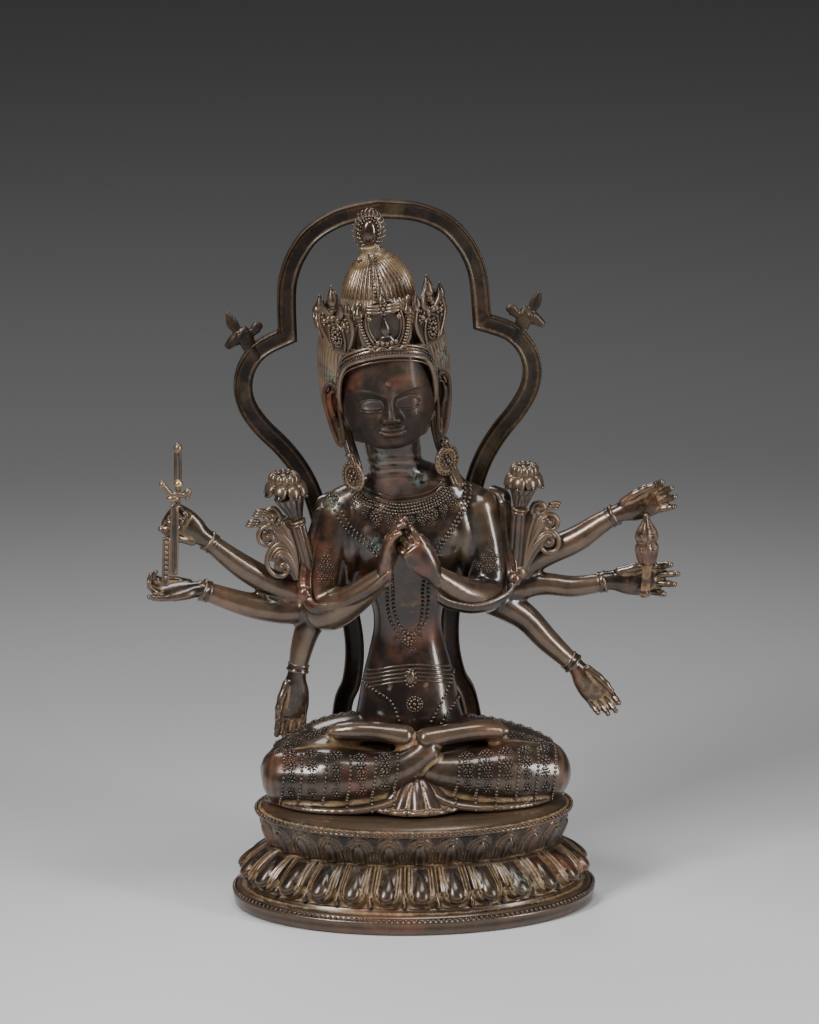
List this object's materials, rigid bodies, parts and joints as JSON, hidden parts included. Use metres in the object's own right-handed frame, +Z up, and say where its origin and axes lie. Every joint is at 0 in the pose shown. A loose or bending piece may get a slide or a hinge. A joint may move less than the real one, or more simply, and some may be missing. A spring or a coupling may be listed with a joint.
{
  "type": "seated bodhisattva statuette",
  "caption": "Cast bronze bodhisattva with many arms, seated in lotus pose on a double lotus base before an open mandorla frame, with staff and sceptre.",
  "frame": {"origin": "centre of the underside of the lotus base", "axes": "+Z up, the figure faces -Y, +X to the viewer's right"},
  "size_m": [0.2691, 0.122, 0.3573],
  "materials": {
    "base_bronze": "brown cast bronze patina with ochre dirt",
    "figure_bronze": "dark brown cast bronze patina, rubbed on high spots",
    "worn_bronze": "rubbed bronze with a golden tone"
  },
  "bodies": {
    "root": {"lotus_base": "base_bronze", "figure": "figure_bronze", "mandorla_frame": "figure_bronze", "hand_staff": "worn_bronze", "hand_sceptre": "worn_bronze"}
  },
  "joints": []
}
